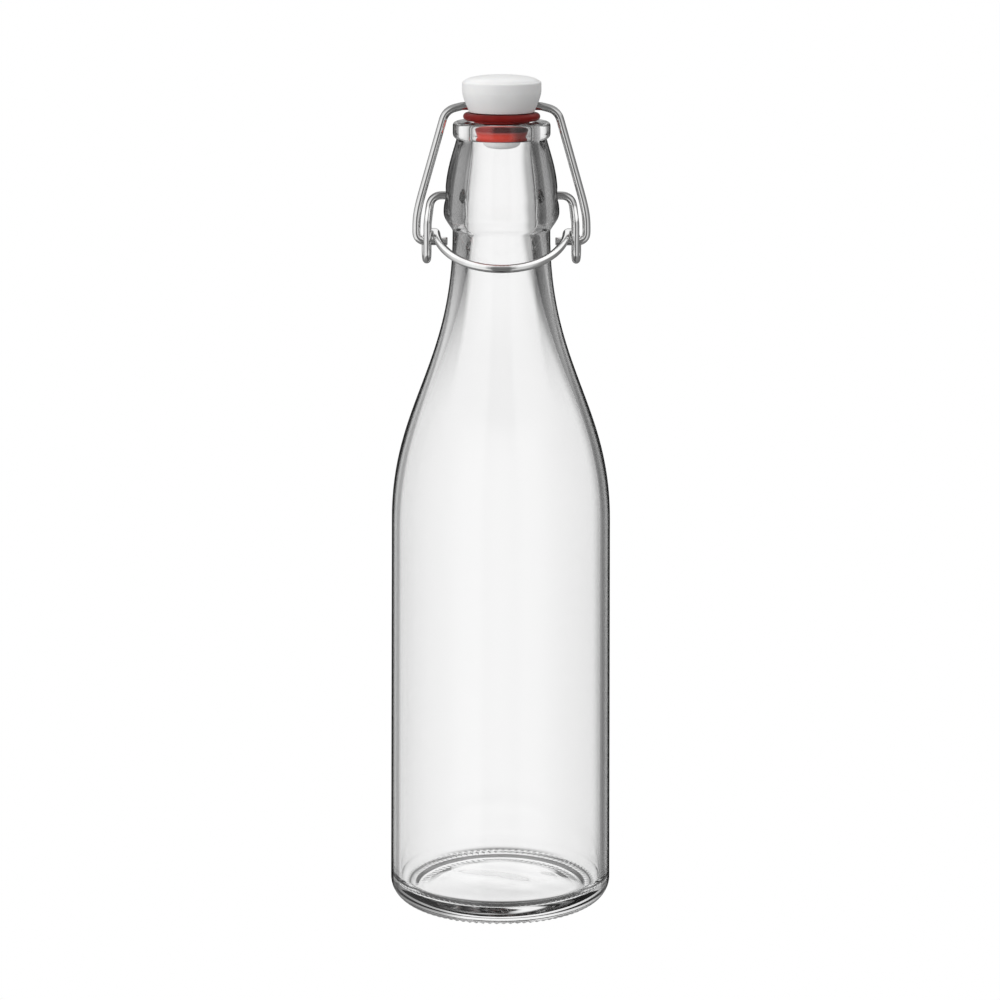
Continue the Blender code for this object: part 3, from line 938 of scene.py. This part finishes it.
def make_gasket():
    """The seal: a ring outside the mouth, a skirt that narrows into it, and the stem's hole."""
    rounding = (GASKET_TOP - GASKET_RING_BOTTOM) / 2
    ring_center = (GASKET_RADIUS - rounding, GASKET_RING_BOTTOM + rounding)
    ring = arc(ring_center, rounding, 90, -90, steps=24)
    edge_center = (GASKET_SKIRT_LOWER_RADIUS - 1.1, GASKET_SKIRT_BOTTOM + GASKET_SKIRT_ROUNDING)
    skirt = bezier(
        (GASKET_SKIRT_RADIUS, GASKET_RING_BOTTOM),
        (GASKET_SKIRT_RADIUS, GASKET_RING_BOTTOM - 2.5),
        (GASKET_SKIRT_LOWER_RADIUS + 0.9, GASKET_SKIRT_BOTTOM + 2.5),
        (GASKET_SKIRT_LOWER_RADIUS, edge_center[1]),
        steps=20,
    )
    lower_edge = arc(edge_center, GASKET_SKIRT_ROUNDING, 0, -90, steps=8)
    hole = line((GASKET_HOLE_RADIUS, GASKET_SKIRT_BOTTOM), (GASKET_HOLE_RADIUS, GASKET_TOP), steps=6)
    bm = turned(ring + skirt + lower_edge + hole, STOPPER_STEPS, closed=True)
    new_piece("seal_gasket", bm, rubber_material(), "stopper", "gasket")


def bail_path():
    """Half of the bail, from its hook up its right side and in to the middle of the stopper."""
    bend_center = (BAIL_SIDE - BAIL_HOOK_BEND, HOOK_HEIGHT + BAIL_HOOK_BEND)
    hook_start = (BAIL_HOOK_END + WIRE_END_ROUNDING, HOOK_HEIGHT)
    hook = line(hook_start, (bend_center[0] - 0.5, HOOK_HEIGHT), steps=4)
    hook += arc(bend_center, BAIL_HOOK_BEND, -90, 0, steps=10)
    belly = bezier(
        (BAIL_SIDE, BAIL_WIDEST_HEIGHT - 2.0),
        (BAIL_SIDE, BAIL_WIDEST_HEIGHT + 2.0),
        (BAIL_SIDE - 0.7, BAIL_WIDEST_HEIGHT + 4.5),
        (BAIL_SIDE - 1.6, BAIL_WIDEST_HEIGHT + 8.0),
        steps=10,
    )
    corner = Vector(BAIL_TOP_CORNER)
    entry = Vector((BAIL_TOP_ENTRY, TOP_WIRE_HEIGHT))
    before = corner + (Vector(belly[-1]) - corner).normalized() * BAIL_TOP_BEND
    after = corner + (entry - corner).normalized() * BAIL_TOP_BEND
    top_bend = bezier(before, before.lerp(corner, 0.6), after.lerp(corner, 0.6), after, steps=10)
    half = without_repeats(hook + belly + top_bend + [tuple(entry)], BAIL_POINT_SPACING)
    return [(x, 0.0, z) for x, z in half + [(0.0, TOP_WIRE_HEIGHT)]]


def lever_leg():
    """From the tip in the dimple over the elbow and down the leg, which swings to the front."""
    elbow_center = (LEVER_LEG - LEG_LEAN - LEVER_ELBOW, PIVOT_HEIGHT - LEVER_ELBOW)
    tip = [(LEVER_TIP + WIRE_END_ROUNDING, PIVOT_HEIGHT), (LEVER_TIP + 2.0, PIVOT_HEIGHT)]
    path = [(x, 0.0, z) for x, z in tip + arc(elbow_center, LEVER_ELBOW, 90, 8, steps=8)]
    top = path[-1][2]
    for index in range(1, LEG_STEPS + 1):
        share = index / LEG_STEPS
        x = LEVER_LEG - LEG_LEAN * (1 - share)
        path.append((x, -LOOP_RADIUS * ease(share), top + (LEG_BOTTOM - top) * share))
    return path


def lever_loop():
    """From the front under the bail's hook to the back, and over it towards the handle."""
    path = []
    under_center = LOOP_BOTTOM + LOOP_RADIUS
    for index in range(UNDER_HOOK_STEPS + 1):
        share = index / UNDER_HOOK_STEPS
        angle = math.pi * share
        x = LEVER_LEG + (LOOP_REAR - LEVER_LEG) * ease(share)
        path.append((x, -LOOP_RADIUS * math.cos(angle), under_center - LOOP_RADIUS * math.sin(angle)))
    for index in range(OVER_HOOK_STEPS + 1):
        angle = (math.pi / 2 + HANDLE_DROOP) * index / OVER_HOOK_STEPS
        x = LOOP_REAR + (LOOP_INNER - LOOP_REAR) * ease(angle / LOOP_CROSSING)
        path.append((x, LOOP_RADIUS * math.cos(angle), HOOK_HEIGHT + LOOP_RADIUS * math.sin(angle)))
    return path


def lever_handle(start):
    """The arch from the end of the loop to the middle of the handle, drooping to the front."""
    start_x, start_y, start_z = start
    arch = bezier(
        (start_x, 0.0),
        (LOOP_INNER - 0.2, HANDLE_REACH * 0.36),
        (LOOP_INNER * 0.68, HANDLE_REACH),
        (0.0, HANDLE_REACH),
        steps=16,
    )
    path = []
    for x, reach in arch[1:]:
        y = start_y - reach * math.cos(HANDLE_DROOP)
        path.append((x, y, start_z - reach * math.sin(HANDLE_DROOP)))
    return path


def lever_path():
    """Half of the lever, from its right tip to the middle of the handle."""
    path = lever_leg() + lever_loop()
    return path + lever_handle(path[-1])


def make_wire(name, half, material, node):
    """A wire from the right half of its path, mirrored to the left. It has its body's name."""
    path = half + [(-x, y, z) for x, y, z in reversed(half[:-1])]
    new_piece(name, swept_wire(even_path(path)), material, name, node)


# Studio -------------------------------------------------------------------------------------


def hold_shift(camera, shift):
    """Shifts the picture while the camera is at its own height, and at no other height."""
    driver = camera.data.driver_add("shift_y").driver
    driver.type = "SCRIPTED"
    height = driver.variables.new()
    height.name = "height"
    height.type = "TRANSFORMS"
    height.targets[0].id = camera
    height.targets[0].transform_type = "LOC_Z"
    height.targets[0].transform_space = "WORLD_SPACE"
    offset = f"abs(height - {CAMERA_HEIGHT * MM:.6f})"
    tolerance = CAMERA_HEIGHT_TOLERANCE * MM
    driver.expression = f"{shift:.6f} if {offset} < {tolerance:.6f} else 0.0"


def make_camera():
    data = bpy.data.cameras.new("camera")
    camera = bpy.data.objects.new("camera", data)
    bpy.context.scene.collection.objects.link(camera)
    camera.location = (PICTURE_MIDDLE_X * MM, -CAMERA_DISTANCE * MM, CAMERA_HEIGHT * MM)
    camera.rotation_euler = (math.pi / 2, CAMERA_ROLL, 0.0)
    data.sensor_width = SENSOR
    data.lens = SENSOR * CAMERA_DISTANCE / PICTURE_WIDTH_AT_AXIS
    data.clip_start = 0.01
    data.clip_end = 100.0
    hold_shift(camera, (PICTURE_MIDDLE_HEIGHT - CAMERA_HEIGHT) / PICTURE_WIDTH_AT_AXIS)
    bpy.context.scene.camera = camera
    return camera


def make_rig(camera):
    """An empty that turns with the camera, so that the light falls the same way in every view."""
    rig = bpy.data.objects.new("light_rig", None)
    bpy.context.scene.collection.objects.link(rig)
    follow = rig.constraints.new("COPY_ROTATION")
    follow.target = camera
    return rig


# The studio's tones round the horizon, at degrees from where the camera looks, to the right.
SEEN_THROUGH_GLASS = (
    (-180, 0.60),
    (-140, 0.45),
    (-112, 0.16),
    (-88, 0.10),
    (-68, 0.24),
    (-52, 0.55),
    (-34, 0.85),
    (-12, 1.00),
    (12, 1.00),
    (26, 0.44),
    (48, 0.27),
    (70, 0.10),
    (105, 0.16),
    (140, 0.45),
    (180, 0.60),
)
SEEN_IN_SURFACES = (
    (-180, 0.90),
    (-140, 1.00),
    (-100, 0.75),
    (-72, 0.50),
    (-45, 0.30),
    (-12, 0.34),
    (12, 0.30),
    (45, 0.22),
    (72, 0.22),
    (100, 0.24),
    (140, 0.70),
    (180, 0.90),
)
# Below and above the horizon they fade, over these degrees, into a table's tone and a roof's.
TABLE_FADE = (-46.0, -34.0)
ROOF_FADE = (16.0, 30.0)
GLASS_TABLE = 0.08
GLASS_ROOF = 0.08
SURFACE_TABLE = 0.22
SURFACE_ROOF = 1.12
# What surfaces mirror is darker within these degrees of the camera itself.
CAMERA_SHADOW = 0.25
CAMERA_SHADOW_FADE = (16.0, 24.0)


def round_the_horizon(n, turn, lift, tones, table, roof):
    """The tones at a turn (0 to 1, left to right) and lift (degrees), between table and roof."""
    stops = [(degrees / 360 + 0.5, tone) for degrees, tone in tones]
    level = n.node("ShaderNodeRGBToBW", {"Color": n.grey_ramp(turn, stops, "EASE")}).outputs["Val"]
    lower = n.fade(lift, *TABLE_FADE, table, level)
    return n.fade(lift, *ROOF_FADE, lower, roof)


def make_world(rig):
    """A studio seen from the rig: a white screen behind the bottle, grey sides, soft light in front.

    What is seen through glass and what surfaces mirror or gather are set apart, because the
    flags and the soft boxes of a glass set would otherwise have to be modelled one by one.
    """
    world = bpy.data.worlds.new("studio")
    bpy.context.scene.world = world
    n = Nodes(world)
    # The rig turns with the camera: its -Z is where the camera looks, and its Y is up.
    right, up, backward = n.split(n.object_place(rig))
    forward = n.compute("MULTIPLY", backward, -1.0)
    level_length = n.compute("SQRT", n.compute("SUBTRACT", 1.0, n.times(up, up)))
    turn = n.compute("MULTIPLY", n.compute("ARCTAN2", right, forward), 0.5 / math.pi)
    lift = n.compute("MULTIPLY", n.compute("ARCTAN2", up, level_length), 180 / math.pi)
    whole_turn = n.compute("ADD", turn, 0.5)
    through = round_the_horizon(n, whole_turn, lift, SEEN_THROUGH_GLASS, GLASS_TABLE, GLASS_ROOF)
    mirrored = round_the_horizon(n, whole_turn, lift, SEEN_IN_SURFACES, SURFACE_TABLE, SURFACE_ROOF)
    from_behind = n.compute("SUBTRACT", 180.0, n.compute("ABSOLUTE", n.times(turn, 360.0)))
    shadow = n.fade(from_behind, *CAMERA_SHADOW_FADE, CAMERA_SHADOW, 1.0)
    rays = n.node("ShaderNodeLightPath").outputs
    strength = n.mix_numbers(rays["Is Transmission Ray"], n.times(mirrored, shadow), through)
    light = {"Color": WHITE, "Strength": strength}
    studio = n.node("ShaderNodeBackground", light).outputs["Background"]
    paper = n.node("ShaderNodeBackground", {"Color": WHITE}).outputs["Background"]
    n.surface(n.mix_shaders(rays["Is Camera Ray"], studio, paper), "ShaderNodeOutputWorld")


FLOOR_HALF_SIDE = 4000.0
FLOOR_GAP = 0.5


def paper_material():
    """Plain white from above, and not there from below."""
    material, n = start_material("paper")
    white = n.node("ShaderNodeEmission").outputs["Emission"]
    clear = n.node("ShaderNodeBsdfTransparent").outputs["BSDF"]
    below = n.node("ShaderNodeNewGeometry").outputs["Backfacing"]
    n.surface(n.mix_shaders(below, white, clear))
    return material


def make_floor():
    """White paper just under the bottle, seen by the camera from above and by nothing else."""
    bm = bmesh.new()
    bmesh.ops.create_grid(bm, x_segments=1, y_segments=1, size=FLOOR_HALF_SIDE * MM)
    mesh = bpy.data.meshes.new("floor")
    bm.to_mesh(mesh)
    bm.free()
    mesh.materials.append(paper_material())
    floor = bpy.data.objects.new("floor", mesh)
    floor.location.z = -FLOOR_GAP * MM
    bpy.context.scene.collection.objects.link(floor)
    floor.visible_diffuse = False
    floor.visible_glossy = False
    floor.visible_transmission = False
    floor.visible_shadow = False


# The lamp, in the rig's axes: right, up and towards the camera.
LAMP_PLACE = (-1000.0, 500.0, 700.0)
LAMP_TARGET = (0.0, 200.0, 0.0)
LAMP_WIDTH = 500.0
LAMP_HEIGHT = 900.0
LAMP_WATTS = 4.0


def make_lamp(rig):
    """A soft box at the left, which lights rough surfaces and is itself seen nowhere."""
    data = bpy.data.lights.new("left_light", "AREA")
    data.shape = "RECTANGLE"
    data.size = LAMP_WIDTH * MM
    data.size_y = LAMP_HEIGHT * MM
    data.energy = LAMP_WATTS
    lamp = bpy.data.objects.new("left_light", data)
    bpy.context.scene.collection.objects.link(lamp)
    lamp.parent = rig
    lamp.location = Vector(LAMP_PLACE) * MM
    lamp.rotation_mode = "QUATERNION"
    lamp.rotation_quaternion = (Vector(LAMP_TARGET) - Vector(LAMP_PLACE)).to_track_quat("-Z", "Y")
    lamp.visible_camera = False
    lamp.visible_transmission = False
    lamp.visible_glossy = False


def set_quality():
    scene = bpy.context.scene
    scene.view_settings.view_transform = "Standard"
    scene.cycles.max_bounces = 40
    scene.cycles.transmission_bounces = 40
    scene.cycles.glossy_bounces = 16
    scene.cycles.diffuse_bounces = 6
    scene.cycles.transparent_max_bounces = 16
    scene.cycles.sample_clamp_indirect = 6.0
    scene.cycles.use_denoising = True


def main():
    make_bottle()
    make_stopper()
    make_gasket()
    steel = steel_material()
    make_wire("bail", bail_path(), steel, "bail_wire")
    make_wire("lever", lever_path(), steel, "lever_wire")
    camera = make_camera()
    rig = make_rig(camera)
    make_world(rig)
    make_floor()
    make_lamp(rig)
    set_quality()


main()
